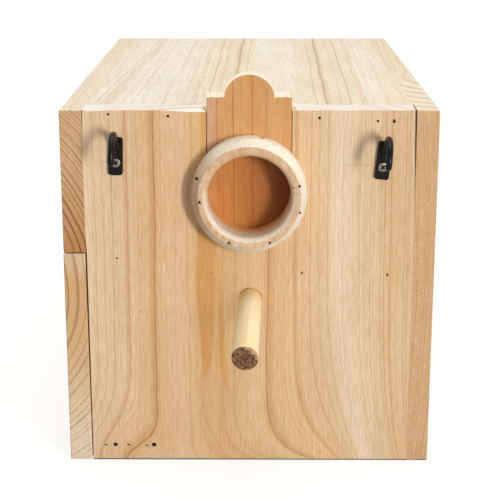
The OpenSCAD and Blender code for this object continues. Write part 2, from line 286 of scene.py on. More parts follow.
def planed(node, material, ease=0.45, cuts=(), reshape=None, tight=None):
    """A board as the planer and a rub of sandpaper leave it: the CAD shape with eased arrises.
    Cuts split its faces at an axis and a height in mm, and reshape moves each corner in mm.
    Edges that lie in a tight joint, told by their middle in mm, stay sharp."""
    mesh = cad_mesh(node)
    work = bmesh.new()
    work.from_mesh(mesh)
    bmesh.ops.remove_doubles(work, verts=work.verts, dist=weld_mm * MM)
    bmesh.ops.dissolve_limit(work, angle_limit=math.radians(0.5), verts=work.verts,
                             edges=work.edges)
    for axis, at in cuts:
        normal = Vector([i == axis for i in range(3)])
        bmesh.ops.bisect_plane(work, geom=work.verts[:] + work.edges[:] + work.faces[:],
                               plane_co=normal * at * MM, plane_no=normal)
    if reshape:
        for vert in work.verts:
            vert.co = Vector(reshape(*(vert.co / MM))) * MM
    arrises = [e for e in work.edges if e.is_manifold and e.calc_length() > 3 * MM
               and e.calc_face_angle() > math.radians(35)
               and not (tight and tight(*((e.verts[0].co + e.verts[1].co) / 2 / MM)))]
    bmesh.ops.bevel(work, geom=arrises, offset=ease * MM, segments=3, profile=0.5,
                    affect="EDGES", clamp_overlap=True)
    work.to_mesh(mesh)
    work.free()
    mesh.shade_flat()
    return stand_for(bpy.data.objects.new(node + "_planed", mesh), node, material)


def chipped_foot(x, y, z):
    # The outer corner of the foot is sanded away by 0.8 mm at the front.
    if z < 0.1 and x > 99 and y < 0:
        return x - 0.4, y, 0.8
    return x, y, z


def glued_right(x, y, z):
    # The top board is glued to it and sanded flush, and so is the front board's lower part.
    return x < 88.5 and (y > -149 or z < 140)


def branch_rings_and_painted_light(add, colour, mm, off, length):
    # A branch left the trunk beside this board, and its rings curve across the top edge.
    flat = add("VectorMath:ADD", [mm, (-149, 37, 0)])
    flat = add("VectorMath:MULTIPLY", [flat, (1, 1, 0)])
    away = add("VectorMath:LENGTH", [flat])
    waver = add("TexNoise", {"Vector": mm, "Scale": 0.06, "Detail": 1})
    away = add("Math:MULTIPLY_ADD", [waver, 5, away])
    season = add("Math:FRACT", [add("Math:DIVIDE", [away, 12])])
    dark = add("MapRange", [season, 0.4, 0.9, 0, 1])
    dark = add("Math:POWER", [dark, 3])
    season = add("MapRange", [season, 0.92, 1, 1, 0])
    up = add("MapRange", [facing(add, 2), 0.8, 0.95, 0, 0.75])
    there = add("SeparateXYZ", [mm], out=1)
    there = add("MapRange", [there, -10, -70, 0, 1])
    for share in (season, up, there):
        dark = add("Math:MULTIPLY", [dark, share])
    # There the upward face is painted pale: a painted highlight.
    pale = add("Math:MULTIPLY", [up, there])
    colour = add("Mix:RGBA", [colour, "#efe4ce", pale])
    return add("Mix:RGBA", [colour, "#c39a66", dark])


right_pine = pine("pine_right_side", "Y", (-900, 110), [(980, "#e8d6b7"), (1020, "#e6cfaa")],
                  "#96602e", ring_mm=1.9, lean=(0.033, 0), line=0.3, crisp=4, wander=1,
                  shiver=0.4, end_tone_and_painted_light=("#c69d70", 0.95), seed=11, marks=branch_rings_and_painted_light)
planed("right_board", right_pine, reshape=chipped_foot, tight=glued_right)

# ---- Left side boards --------------------------------------------------------------------
# Two pine boards one above the other: the upper one is glued and nailed like the right side,
# the lower one is the flap.  Both were sawn nearer the heart, so their front ends show wide
# dark rings that curve, and the flap's upper corner is a patch of pale sapwood.


def glued_left(x, y, z):
    # The front board touches it below the top 30 mm, and the top board all along.
    return x > -88.5 and (y > -149 or z < 170)


def browner_towards_foot(add, colour, mm, off, length):
    # Towards its lower edge the board is browner.
    up = add("SeparateXYZ", [mm], out=2)
    brown = add("MapRange", [up, 121, 168, 0.75, 0])
    return add("Mix:RGBA", [colour, "#dcb27c", brown], blend_type="MULTIPLY")


upper_pine = pine("pine_left_upper", "Y", (-188, 96), [(0, "#dfc8a4"), (110, "#e8d8bd")],
                  "#6b3512", ring_mm=17, inner=60, crowding=2, lean=(0.01, 0), tone_by=1,
                  line=0.22, crisp=4, shiver=0.5, end_line=4.6, end_tone_and_painted_light=("#cda172", 0.92),
                  seed=3, marks=browner_towards_foot)
planed("left_upper_board", upper_pine, tight=glued_left)


def full_length(x, y, z):
    # The flap stops 0.2 mm above the floor.  Its inner face is planed to shut a little way from
    # the front board, and most at its upper edge.
    if x > -88.6:
        x = -87.95 if z < 100 else -88.4
    return x, y, 0.2 if z < 1 else z


flap_pine = pine("pine_left_flap", "Y", (-165, 100),
                 [(-100, "#e6d4ba"), (-66, "#e2caa8"), (-40, "#d6b284"), (6, "#d2a876"),
                  (14, "#dcbc9a"), (21, "#ddc1a0")],
                 "#8a5626", ring_mm=27, crowding=2, tone_by=1, line=0.34, crisp=9,
                 shiver=0.4, end_line=2.4, end_tone_and_painted_light=("#cf9c64", 0.15), seed=7)
planed("left_flap", flap_pine, ease=0.7, reshape=full_length)

# ---- Bottom and back boards --------------------------------------------------------------
# Two more pine boards that close the box between the sides.  They are the same planed stock,
# with the grain running from front to back below and from side to side behind.

bottom_pine = pine("pine_bottom", "Y", (30, 75), [(-120, "#dcbf94"), (60, "#e0c59c")],
                   "#b07c42", ring_mm=4, seed=19)
planed("bottom_board", bottom_pine)
back_pine = pine("pine_back", "X", (210, 60),
                 [(-60, "#d8b587"), (0, "#e2c598"), (60, "#dcba8c"), (130, "#d5af7e")],
                 "#b0783e", ring_mm=3.4, lean=(0, 0.02), tone_by=1, seed=23)
planed("back_board", back_pine)

# ---- Front board -------------------------------------------------------------------------
# A wide flat-sawn pine board, 18 mm thick, set upright between the sides.  Its heart line runs
# down a fifth left of the middle, and its rings crook outwards at the foot, where the trunk
# swelled.  Steel brads hold it, sunk by the nail gun, and pencil lines mark the hooks' screws.


def corners(node):
    """The lower and upper corners of a CAD node's box, in mm."""
    return [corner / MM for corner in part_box(node)]


front_lo, front_hi = corners("front_board")
front_y = front_lo[1]
half_front = front_hi[0]
heart_x = -20.5
heart_deep = 45                      # how far the trunk's heart lay from the face
ring_lo, ring_hi = corners("entrance_ring")
ring_z = (ring_hi[2] + ring_lo[2]) / 2


def butt_swell(add, off, height):
    # At the floor the rings lie up to 28 mm further out than they do above.  The ring that runs
    # straight lies left of the heart line, and those near the right edge hardly bend.
    out = add("MapRange", [off, -48, 9, -18, 15])
    for ends in ((9, 58, 0, 13), (66, 120, 0, -28)):
        out = add("Math:ADD", [out, add("MapRange", [off, *ends])])

    def faded(rise):
        return add("Math:POWER", [math.e, add("Math:MULTIPLY", [rise, -1])])

    was = faded(add("Math:DIVIDE", [height, 16]))
    was = add("Math:MULTIPLY", [out, was])
    was = add("Math:SUBTRACT", [off, was])
    # The bend is short near the heart line, and starts higher up towards both edges.
    right = add("MapRange", [was, 28, 62, 10, 28])
    left = add("MapRange", [was, -24, -44, 10, 26])
    reach = add("Math:MAXIMUM", [right, left])
    rise = add("Math:DIVIDE", [height, reach])
    rise = add("Math:POWER", [rise, add("MapRange", [off, -30, 0, 2, 1])])
    shift = add("Math:MULTIPLY", [out, faded(rise)])
    return add("Math:SUBTRACT", [off, shift])


def pencil_and_resin(add, colour, mm, off, height):
    # Resin shows on the planed face only.
    on_front = add("MapRange", [facing(add, 1), -0.9, -0.5, 1, 0])
    # Two tongues of resin-stained wood below the entrance end in blunt points.  Each has its
    # tip, across and up, and then its middle, half width and height where it is widest and at
    # its top, in mm from the heart line.
    for tip, widest, top in (((-3.0, 42), (-3.2, 5.7, 100), (-0.9, 5, 175)),
                             ((8.6, 35), (6.4, 2.4, 57), (3.2, 0.6, 118))):
        middle = add("MapRange", [height, tip[1], widest[2], tip[0], widest[0]])
        middle = add("MapRange", [height, widest[2], top[2], middle, top[0]])
        room = add("MapRange", [height, tip[1], widest[2], 0, 1])
        room = add("Math:POWER", [room, 0.55])
        room = add("Math:MULTIPLY", [room, widest[1]])
        above = add("MapRange", [height, widest[2], top[2], widest[1], top[1]])
        room = add("Math:MINIMUM", [room, above])
        inside = add("Math:SUBTRACT", [room, apart(add, off, middle)])
        inside = add("MapRange", [inside, -0.2, 1.1, 0, 0.8])
        ended = add("MapRange", [height, tip[1], tip[1] + 14, 0, 1])
        threads = grain(add, mm, (1.1, 1.1, 0.025))
        threads = add("MapRange", [threads, 0.35, 0.6, 0.5, 1])
        for share in (ended, threads, on_front):
            inside = add("Math:MULTIPLY", [inside, share])
        colour = add("Mix:RGBA", [colour, "#cb8d42", inside])
    # A pencil stroke crosses each hook's screw, and fades at its ends.
    spot = add("SeparateXYZ", [mm]).node.outputs
    for x0, x1, z in ((-80, -64, 171.6), (50, 65, 169.8)):
        level = apart(add, spot[2], z)
        stroke = add("MapRange", [level, 0.1, 0.45, 0.3, 0])
        middle = apart(add, spot[0], (x0 + x1) / 2)
        ends = (x1 - x0) / 2
        within = add("MapRange", [middle, ends - 2, ends, 1, 0])
        stroke = add("Math:MULTIPLY", [stroke, within])
        colour = add("Mix:RGBA", [colour, "#7e5a40", stroke])
    # The innermost ring comes out of the face low down, and runs off to the right.
    run = add("MapRange", [spot[2], 33, 0, 0, 1])
    run = add("Math:POWER", [run, 1.25])
    run = add("Math:MULTIPLY_ADD", [run, 15, -27])
    gap = add("MapRange", [apart(add, spot[0], run), 0.1, 0.6, 0.4, 0])
    begun = add("MapRange", [spot[2], 34, 24, 0, 1])
    gap = add("Math:MULTIPLY", [gap, begun])
    colour = add("Mix:RGBA", [colour, "#b07a38", gap])
    # The sawn edges, in the joints and in the slot, are browner than the planed face.
    aside = add("Math:ABSOLUTE", [facing(add, 0)])
    aside = add("MapRange", [aside, 0.8, 0.95, 0, 0.8])
    colour = add("Mix:RGBA", [colour, "#e2bd93", aside], blend_type="MULTIPLY")
    # The wall of the entrance is a deeper orange behind the ring.
    centre = add("VectorMath:ADD", [mm, (0, 0, -ring_z)])
    flat = add("VectorMath:MULTIPLY", [centre, (1, 0, 1)])
    away = add("VectorMath:LENGTH", [flat])
    bore_wall_tone = add("MapRange", [away, 23.5, 24.5, 0.8, 0])
    return add("Mix:RGBA", [colour, "#eaa24c", bore_wall_tone])


def on_face(deep, rings):
    """Rings to mark on a face that lies so far from the trunk's heart.  Each is given by its
    distance from the heart line on that face, its half width and its depth."""
    return [(math.hypot(at, deep), half_width, depth) for at, half_width, depth in rings]


# Its ends take the tone #faf3e6, nearly white: a painted highlight on the top end strip, which
# faces up.
front_pine = pine("pine_front", "Z", (heart_x, front_y - heart_deep),
                  [(-68, "#e4c6a2"), (-52, "#e0c09b"), (-40, "#ddb98e"), (-31, "#dab385"),
                   (-16, "#dcb68d"), (-8, "#d8b07f"), (2, "#d6ab77"), (12, "#d4ad7b"),
                   (24, "#dcb88c"), (36, "#dab487"), (50, "#d9b58b"), (60, "#d9ba90"),
                   (69, "#e1caad"), (78, "#dcc19e"), (88, "#dabb95"), (97, "#d4b286"),
                   (109, "#d2b28b")],
                  "#b07228", ring_mm=1.25, line=0.36, crisp=2.6, end_line=2,
                  end_tone_and_painted_light=("#faf3e6", 0.93), wander=1.0, shiver=0.6, seed=0,
                  marked=on_face(heart_deep, [
                      (30.5, 0.55, 0.85), (31.8, 1.6, 0.4), (45, 0.5, 0.65), (46, 1.0, 0.3),
                      (53, 0.4, 0.5), (62, 0.4, 0.5), (70, 0.35, 0.4), (79, 0.35, 0.4),
                      (85, 0.35, 0.45), (92.5, 0.4, 0.65), (96, 0.5, 0.7), (103.5, 0.4, 0.6),
                      (105, 0.3, 0.5)]),
                  flow=butt_swell, marks=pencil_and_resin)
crest_cuts = [(0, x) for x in (-83, -78, -73, -66, -58, -50, -44, -38, -31)]
joint_cuts = [(2, z) for z in (121, 130, 143, 172)] + [(1, -145)]


def sanded_top(x, y, z):
    # The joints to the sides open towards the top, and the left one is wide beside the flap:
    # each edge has its opening at some heights, all in mm.
    for edge, opened in ((-1, {0.8: 0.68, 121: 0.6, 130: 0.06, 143: 0, 172: 0, 199: 0.5}),
                         (1, {0.8: 0, 121: 0, 130: 0, 143: 0.02, 172: 0.55, 199: 1.1})):
        if x * edge > half_front - 0.8 and (y < -148 or x < 0 and z < 122):
            level = min(opened, key=lambda level: abs(level - z))
            return edge * (half_front - opened[level]), y, z
    # The arris left of the slot was sanded down most at its two ends.
    if z > 198.9 and y < -149.9 and -87.8 < x < -22:
        middle = (x + 60) / 15
        drop = 0.9 * min(1, max(0, abs(middle) - 0.9))
        return x, y, z - drop
    return x, y, z


def applied(piece):
    """The piece with its modifiers worked into its mesh."""
    bpy.context.view_layer.update()
    shape = piece.evaluated_get(bpy.context.evaluated_depsgraph_get())
    piece.data = bpy.data.meshes.new_from_object(shape)
    piece.modifiers.clear()
    return piece


def carve(piece, cutter):
    """Cuts one mesh object out of another for good, and takes the cutter away."""
    scene_objects.link(cutter)
    bool_cut = piece.modifiers.new("cut", "BOOLEAN")
    bool_cut.operation = "DIFFERENCE"
    bool_cut.solver = "EXACT"
    bool_cut.object = cutter
    applied(piece)
    bpy.data.objects.remove(cutter)


def shaped(name, points, faces, weld=0):
    """A mesh object from points in mm, with its faces turned outwards."""
    mesh = bpy.data.meshes.new(name)
    mesh.from_pydata([Vector(point) * MM for point in points], [], faces)
    work = bmesh.new()
    work.from_mesh(mesh)
    if weld:
        bmesh.ops.remove_doubles(work, verts=work.verts, dist=weld * MM)
    bmesh.ops.recalc_face_normals(work, faces=work.faces)
    work.to_mesh(mesh)
    work.free()
    return bpy.data.objects.new(name, mesh)


def joined(name, parts):
    """One mesh object made of many (points, faces) parts, with its points in mm."""
    points, faces = [], []
    for part_points, part_faces in parts:
        start = len(points)
        points += part_points
        faces += [[start + i for i in face] for face in part_faces]
    return shaped(name, points, faces)


rightwards = Vector((1, 0, 0))
upwards = Vector((0, 0, 1))


def spike(middle, out, around, radii, depths, sides, turn=0.0, squeeze=1.0):
    """A closed stack of outlines along an outward direction, one for each radius and depth.
    Turn spins their corners, and squeeze flattens them."""
    up = out.cross(around)
    points = []
    for radius, depth in zip(radii, depths):
        for i in range(sides):
            angle = turn + 2 * math.pi * i / sides
            points.append(middle + out * depth + around * radius * math.cos(angle)
                          + up * radius * squeeze * math.sin(angle))
    faces = [list(range(sides))[::-1], [sides * (len(radii) - 1) + i for i in range(sides)]]
    for ring in range(len(radii) - 1):
        for i in range(sides):
            j = (i + 1) % sides
            a, b = sides * ring, sides * (ring + 1)
            faces.append([a + i, a + j, b + j, b + i])
    return points, faces


def speckled(name, fineness, stops, **finish):
    """A material whose tone varies in specks, so many to the millimetre, with its finish."""
    made, add, mm = new_material(name)
    specks = add("TexNoise", {"Vector": mm, "Scale": fineness, "Detail": 2})
    colour = add("ValToRGB", [specks], stops=stops)
    add("OutputMaterial", [add("BsdfPrincipled", {"Base Color": colour, **finish})])
    return made


# Blued brad heads, gone dull: a dark metal, with rust in specks about a millimetre wide.
brad_steel = speckled("blued_steel_brad", 0.9, [(0.35, "#1d1410"), (0.7, "#3a2114")],
                      Metallic=0.6, Roughness=0.45)
# Fibres that a brad pushed up are paler than the face, and as rough as felt.
burr_pine = speckled("torn_pine_fibre", 2.5, [(0.3, "#dcb88c"), (0.7, "#f0dcc0")],
                     Roughness=0.9)


def fitted(piece, material, slot):
    """Fixes a small piece that has no CAD node of its own to the box."""
    scene_objects.link(piece)
    piece.data.materials.append(material)
    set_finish(piece, slot)
    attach(piece, "box")


def brads(board, places, out, around, name):
    """Sinks a row of brads: a ragged pit, the steel head at its bottom, and a burr at its rim.
    A place is the point, the pit's size, its turn and how far it is drawn out to a dash."""
    pits, heads, burrs = [], [], []
    draw = random.Random(len(places))
    for point, size, turn, dash in places:
        middle = Vector(point)
        half = size / 2
        pits.append(spike(middle, out, around, [half, half, half * 0.9], [1.2, -0.1, -1.9], 5,
                          turn, dash))
        heads.append(spike(middle, out, around, [half * 0.85, half * 0.85], [-1.9, -0.7], 8,
                           turn, dash))
        up = out.cross(around)
        for i in range(7):
            angle = turn + 2 * math.pi * (i + draw.random()) / 7
            rim = (middle + around * half * 1.15 * math.cos(angle)
                   + up * half * 1.15 * dash * math.sin(angle))
            burrs.append(spike(rim, out, around, [0.16, 0.05],
                               [-0.1, 0.1 + 0.16 * draw.random()], 4, angle))
    carve(board, joined(name + "_pits", pits))
    own_slot = board["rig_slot"]
    for kind, parts, material in (("heads", heads, brad_steel), ("burrs", burrs, burr_pine)):
        fitted(joined(name + "_" + kind, parts), material,
               own_slot if kind == "burrs" else "screws")


def glued_front(x, y, z):
    # Its edges are in tight joints behind the face near the top, and also at the face on the
    # left above the flap and on the right below where the joint opens.
    return abs(x) > 87 and y > -148 and z > 143 or x < -87 and 130 < z < 172 or x > 87 and z < 143


front_board = planed("front_board", front_pine, ease=0.35, cuts=crest_cuts + joint_cuts,
                     reshape=sanded_top, tight=glued_front)
# The brads into the top, the middle and the bottom boards: across, up, size, turn and dash.
front_brads = [(-74, 196.9, 1.6, 0.3, 1), (-42.6, 195.8, 1.9, 0.9, 1), (36.8, 195, 1.8, 0.5, 1),
               (67.4, 193.4, 1.6, 0.1, 1), (75.9, 193.3, 2.0, 0.8, 1.3),
               (-71.3, 118.1, 1.4, 0.4, 1), (-59.1, 87.6, 0.8, 0.2, 1),
               (-20.7, 109.7, 1.0, 0.6, 1), (28.3, 110, 1.5, 0.9, 1),
               (74.5, 109, 1.2, 0.7, 1.9), (-80.1, 8.9, 2.2, 0, 0.5),
               (-74.9, 9.1, 2.9, 0.4, 1), (-67.6, 9, 2.3, 0, 0.6), (-57.3, 8.6, 2.4, 0, 0.4),
               (-53.4, 9, 3.2, 0.785, 1)]
brads(front_board, [((x, front_y, z), size, turn, dash)
                    for x, z, size, turn, dash in front_brads],
      Vector((0, -1, 0)), rightwards, "front_brad")

# ---- Top board ---------------------------------------------------------------------------
# The paler, flat-sawn pine board on top, behind the front board; its tones are paler partly as
# painted light, the washed-out brightness of its upward face.  Its rings lean a little to the
# right on their way back, and those at the left splay out towards the front.

top_z = 199
top_deep = 87                        # how far the trunk's heart lay below the upper face


def splay(add, off, back):
    # The front edge lies 132 mm before the middle; left of the heart the rings run outwards.
    forward = add("MapRange", [back, -132, 150, 1, 0])
    left = add("MapRange", [off, -50, -115, 0, 15])
    return add("Math:MULTIPLY_ADD", [forward, left, off])


# Its pale tones are partly painted light: the brightness of its upward face under the overhead
# lamp.
top_pine = pine("pine_top", "Y", (17.7, top_z - top_deep),
                [(-106, "#e8dabf"), (-80, "#ede3cf"), (-56, "#ece1cc"), (-38, "#ead9bd"),
                 (-26, "#e8d7b8"), (-12, "#ece1cb"), (8, "#ebdfc8"), (24, "#e8d7ba"),
                 (40, "#e9dac0"), (54, "#ede2cd"), (70, "#e9d8bc")],
                "#bb853e", ring_mm=3.9, lean=(0.015, 0), line=0.38, crisp=11, wander=0.7,
                shiver=0.15, seed=0,
                marked=on_face(top_deep, [(25.7, 0.3, 0.85), (26.8, 0.6, 0.35), (20, 0.15, 0.4),
                                          (39.2, 0.25, 0.6), (47.5, 0.2, 0.5), (88, 0.3, 0.6)]),
                flow=splay)
top_board = planed("top_board", top_pine, ease=0.15)
brads(top_board, [((-71.6, -83, top_z), 1.3, 0.4, 1)], upwards, rightwards, "top_brad")

# ---- Shutter -----------------------------------------------------------------------------
# A slice of redder pine that slides in the slot behind the ring.  Its long edges are cut to a
# point that runs in the grooves, and its arched top is the handle.  The sawn edges stay pale,
# and those that face up are painted nearly white: a painted highlight.  Behind the ring its face
# is painted darker towards the right: painted shade inside the entrance.


def pale_edges_and_painted_light(add, colour, mm, off, height):
    # Above the box the faces that look up or sideways are nearly white: on the upward ones this is
    # a painted highlight, on the sides the pale tone of the saw cut.
    backwards = facing(add, 1)
    turned_out = add("Math:ABSOLUTE", [backwards])
    pale = add("MapRange", [turned_out, 0.45, 0.8, 0.85, 0])
    above = add("MapRange", [height, 199.3, 200, 0, 1])
    pale = add("Math:MULTIPLY", [pale, above])
    colour = add("Mix:RGBA", [colour, "#f4e8d2", pale])
    spot = add("SeparateXYZ", [mm]).node.outputs
    # The cut-back part behind the ring is painted warmer and darker, most towards the right:
    # painted shade where the ring's shadow falls inside the entrance, with a painted warm
    # reflection of the entrance's orange walls.
    red = add("MapRange", [spot[0], -22, 22, 0, 1])
    red = add("ValToRGB", [red], stops=[(0.1, "#f8e2b2"), (0.9, "#b28446")])
    sunk = add("MapRange", [spot[1], -146, -144, 0, 1])
    low = add("MapRange", [height, 182, 184, 1, 0])
    front_side = add("MapRange", [backwards, -0.5, -0.2, 1, 0])
    for share in (low, front_side):
        sunk = add("Math:MULTIPLY", [sunk, share])
    return add("Mix:RGBA", [colour, red, sunk], blend_type="MULTIPLY")


def trimmed(x, y, z):
    # Above the box nothing runs in the grooves, so the pointed edges are planed down.
    if z > 198.9 and abs(x) > 22.4:
        x = math.copysign(22.3 + 0.25 * (abs(x) - 22.3), x)
    # The saw tore the front arris of the shoulders.
    if 204 < z < 208 and y < -149 and abs(x) > 13:
        z -= 0.9 + 0.7 * noise.noise(Vector((x * 1.7, 3, 5)))
    return x, y, z


# Its ends, the arched top among them, take a nearly white tone: a painted highlight where they
# face up.
shutter_pine = pine("pine_shutter", "Z", (-48, -146),
                    [(24, "#c79b74"), (30.5, "#c6976c"), (32, "#cb925c"), (40, "#cf9a60"),
                     (50, "#ca9054"), (60, "#d09c64"), (72, "#ca9258")],
                    "#8a4614", ring_mm=2.3, line=0.13, end_tone_and_painted_light=("#f4e8d2", 0.9), wander=0.5,
                    shiver=0.3, end_line=1, seed=5,
                    marked=[(31.2, 0.35, 0.6), (39.8, 0.4, 0.85), (49.8, 0.7, 0.45),
                            (57, 0.5, 0.3)],
                    marks=pale_edges_and_painted_light)
tooth_cuts = [(0, side * (14 + 1.4 * i)) for i in range(6) for side in (-1, 1)]
planed("shutter", shutter_pine, ease=0.3, cuts=[(2, 198.7), (2, 199.1)] + tooth_cuts,
       reshape=trimmed)

# ---- Entrance ring -----------------------------------------------------------------------
# A ring cut from a pine board, its grain upright, and shaped on a router: a bevel round the
# outside and a roundover at the mouth.  The flat face is still the board's own planed one, and
# is tanner than the fresh cuts.  Brads through it hold it over the shutter's slot.

ring_r = (ring_hi[0] - ring_lo[0]) / 2
ring_t = ring_hi[1] - ring_lo[1]
hole_r = 22                          # the bore
bevel = 3.7                          # the bevel's width on the face
bevel_t = 5                          # and how far back it goes
mouth_r = 3.2                        # the roundover at the mouth


def outward(origin, slope=0.0, lean=0.0):
    """The place of a piece that stands on the front face, its own Z pointing out of it."""
    return (Matrix.Translation(Vector(origin) * MM) @ Matrix.Rotation(math.radians(-lean), 4, "Z")
            @ Matrix.Rotation(math.radians(90 + slope), 4, "X"))


def turned(name, outline, place, steps, closed=False, shape=None, node=None, material=None):
    """A piece turned round its own Z: an outline of (radius, height) in mm, spun in steps."""
    points, faces = [], []
    for i in range(steps):
        angle = 2 * math.pi * i / steps
        for radius, height in outline:
            point = Vector((radius * math.cos(angle), radius * math.sin(angle), height))
            points.append(shape(point) if shape else point)
    count = len(outline)
    for i in range(steps):
        a, b = count * i, count * ((i + 1) % steps)
        for j in range(count if closed else count - 1):
            k = (j + 1) % count
            faces.append([a + j, b + j, b + k, a + k])
    piece = shaped(name, points, faces, weld_mm)
    piece.data.shade_smooth()
    piece.matrix_world = place
    if node:
        stand_for(piece, node, material)
        piece.data.set_sharp_from_angle(angle=math.radians(30))
    return piece


def fine(points, step):
    """The same outline with more points along its straight stretches."""
    made = []
    for a, b in zip(points, points[1:]):
        count = max(1, round((Vector(b) - Vector(a)).length / step))
        made += [tuple(Vector(a).lerp(Vector(b), i / count)) for i in range(count)]
    return made + [points[-1]]


def ragged(point):
    # The cutter tore the outer arris here and there, and the ring is a little out of round.
    radius = math.hypot(point.x, point.y)
    way = Vector((point.x, point.y, 0)) / radius
    angle = math.atan2(point.y, point.x)
    loss = 0
    if radius > ring_r - bevel - 0.5:
        loss = 0.25 + 0.2 * math.cos(2 * angle + 0.6)
        tear = noise.noise(Vector((way.x * 7, way.y * 7, 4.2)))
        near = max(0, 1 - abs(point.z - (ring_t - bevel_t)) / 1.2)
        loss += near * (0.1 + max(0, tear) * 1.1)
        chip = max(0, 1 - abs(math.degrees(angle) - 77) / 3.5)
        loss += chip * 2 * max(0, 1 - point.z / 6)
    return point - way * loss


ring_outline = fine([(ring_r, 0), (ring_r, ring_t - bevel_t), (ring_r - bevel, ring_t),
                     (hole_r + mouth_r, ring_t)], 0.6)
ring_outline += [(hole_r + mouth_r * (1 - math.sin(a * math.pi / 18)),
                  ring_t - mouth_r * (1 - math.cos(a * math.pi / 18))) for a in range(1, 9)]
ring_outline += fine([(hole_r, ring_t - mouth_r), (hole_r, 0)], 1.5)


def routed_pine():
    # Fresh cuts in pine are nearly white and matt, with upright fibres that the cutter lifted;
    # the old flat face is a shade of tan, and so is the upper lip of the mouth, which faces down:
    # there the tan is painted shade.
    made, add, mm = new_material("pine_routed_ring")
    axes = add("SeparateXYZ", [mm]).node.outputs
    scales = {"fibre": (1.3, 0.13, 1.3), "fleck": (1.9, 1.1, 1.9), "growth": (0.5, 0.012, 0.4)}
    noises = {kind: grain(add, mm, fineness, 3) for kind, fineness in scales.items()}
    fresh = add("ValToRGB", [noises["growth"]],
                stops=[(0.3, "#dfd1bb"), (0.5, "#e4dbca"), (0.68, "#dcc8ac")])
    old = add("ValToRGB", [noises["growth"]], stops=[(0.35, "#c99e72"), (0.6, "#d8b088")])
    proud = add("MapRange", [axes[2], ring_t - 0.3, ring_t - 0.1, 0, 1])
    radius = from_axis(add, axes[0], axes[1])
    mouth = add("MapRange", [radius, hole_r + mouth_r, hole_r + mouth_r + 0.2, 1, 0])
    # The roundover's upper half faces down and is painted tan: painted shade; the lower half stays
    # pale.
    upper = add("MapRange", [axes[1], -8, 8, 0.1, 0.95])
    mouth = add("Math:MULTIPLY", [mouth, upper])
    wear_or_painted_light = add("Math:MAXIMUM", [proud, mouth])
    patch = add("TexNoise", {"Vector": mm, "Scale": 0.3, "Detail": 2})
    patch = add("MapRange", [patch, 0.3, 0.55, 0.6, 1])
    wear_or_painted_light = add("Math:MULTIPLY", [wear_or_painted_light, patch])
    # The bevel's left side, turned away from the key lamp, is painted darker tan too: painted
    # shade.
    painted_left_shade = add("MapRange", [axes[0], -18, -29, 0, 0.75])
    wear_or_painted_light = add("Math:MAXIMUM", [wear_or_painted_light, painted_left_shade])
    colour = add("Mix:RGBA", [fresh, old, wear_or_painted_light])
    # Deep in the bore the wood is browner, like the board's wall behind it.
    deep = add("MapRange", [axes[2], 2, ring_t - mouth_r, 0.26, 0])
    inner = add("MapRange", [radius, hole_r + 0.3, hole_r + 0.6, 1, 0])
    deep = add("Math:MULTIPLY", [deep, inner])
    colour = add("Mix:RGBA", [colour, "#e6b87a", deep])
    shade = add("MapRange", [noises["fibre"], 0.3, 0.7, 0.95, 1.04])
    colour = shaded(add, colour, shade, (0.8, 1.2, 1.8))
    # The planed face shows its open cells as brown specks; a fresh cut has few.
    many = add("MapRange", [wear_or_painted_light, 0.3, 0.9, 0.66, 0.58])
    pore = add("MapRange", [noises["fleck"], many, 0.76, 0, 0.5])
    colour = add("Mix:RGBA", [colour, "#a8743f", pore])
    height = add("Math:ADD", [noises["fibre"], noises["fleck"]])
    bump = add("Bump", {"Height": height, "Strength": 0.45, "Distance": 0.2 * MM})
    wood = add("BsdfPrincipled", {"Base Color": colour, "Roughness": 0.72, "IOR": 1.5,
                                  "Specular IOR Level": 0.3, "Normal": bump})
    add("OutputMaterial", [wood])
    return made


ring_place = outward((0, ring_hi[1], ring_z))
entrance_ring = turned("entrance_ring_routed", ring_outline, ring_place, 160, True, ragged,
                       "entrance_ring", routed_pine())
# Each brad's place across and up from the ring's middle, and its size.
ring_brads = [(-27.4, 9.8, 2.2), (-25.9, -2.3, 2.8), (-10.7, -24.1, 2.6), (10.8, -24, 2.5),
              (26.5, -8, 2.3), (26.2, 6.5, 2.5), (23.1, 5.8, 1.0)]
pits, heads = [], []
for x, z, size in ring_brads:
    sunk = max(0, (math.hypot(x, z) - (ring_r - bevel)) * bevel_t / bevel)
    middle = Vector((x, z, ring_t - sunk))
    torn = size > 2.2
    pits.append(spike(middle, upwards, rightwards, [size / 2, size / 2, size / 2.4],
                      [1.5, -0.1, -2.2], 3 if torn else 5, x))
    heads.append(spike(middle, upwards, rightwards, [size / 2.6, size / 2.6], [-2.2, -1.1],
                       3 if torn else 8, x))
cutter = joined("ring_brad_pits", pits)
cutter.matrix_world = ring_place
carve(entrance_ring, cutter)
ring_heads = joined("ring_brad_heads", heads)
ring_heads.matrix_world = ring_place
fitted(ring_heads, brad_steel, "screws")

# ---- Perch -------------------------------------------------------------------------------
# A length of peeled cane pushed and glued into a blind hole.  Its skin is smooth and creamy,
# with a dull gloss; the sawn end is brown, with the open vessels of the cane as dark pores.

perch_r = 6.35
perch_flare = 0.5                    # how much its radius grows to its end
perch_len = 63.8
perch_deep = 12                      # its length in the board
perch_drop = 59.8                    # below the entrance's middle
perch_shift = 0.6                    # to the right of it
perch_slope = 8.8                    # degrees down and to the left
perch_lean = 2.2


def knobbly(point):
    # Cane is never quite straight or round.
    swell_here = 0.12 * noise.noise(Vector((point.x / 9, point.y / 9, point.z / 14)))
    out = Vector((point.x, point.y, 0))
    if out.length > 0.1 and point.z < perch_len - 0.3:
        point = point + out.normalized() * swell_here
    if point.z > perch_len - 0.3 and out.length < perch_r + 0.3:
        hollow = noise.noise(Vector((point.x * 1.3, point.y * 1.3, 8)))
        fuzz = noise.noise(Vector((point.x * 3.1, point.y * 3.1, 2)))
        point = point - Vector((0, 0, 0.1 + 0.22 * abs(hollow) + 0.18 * abs(fuzz)))
    return point


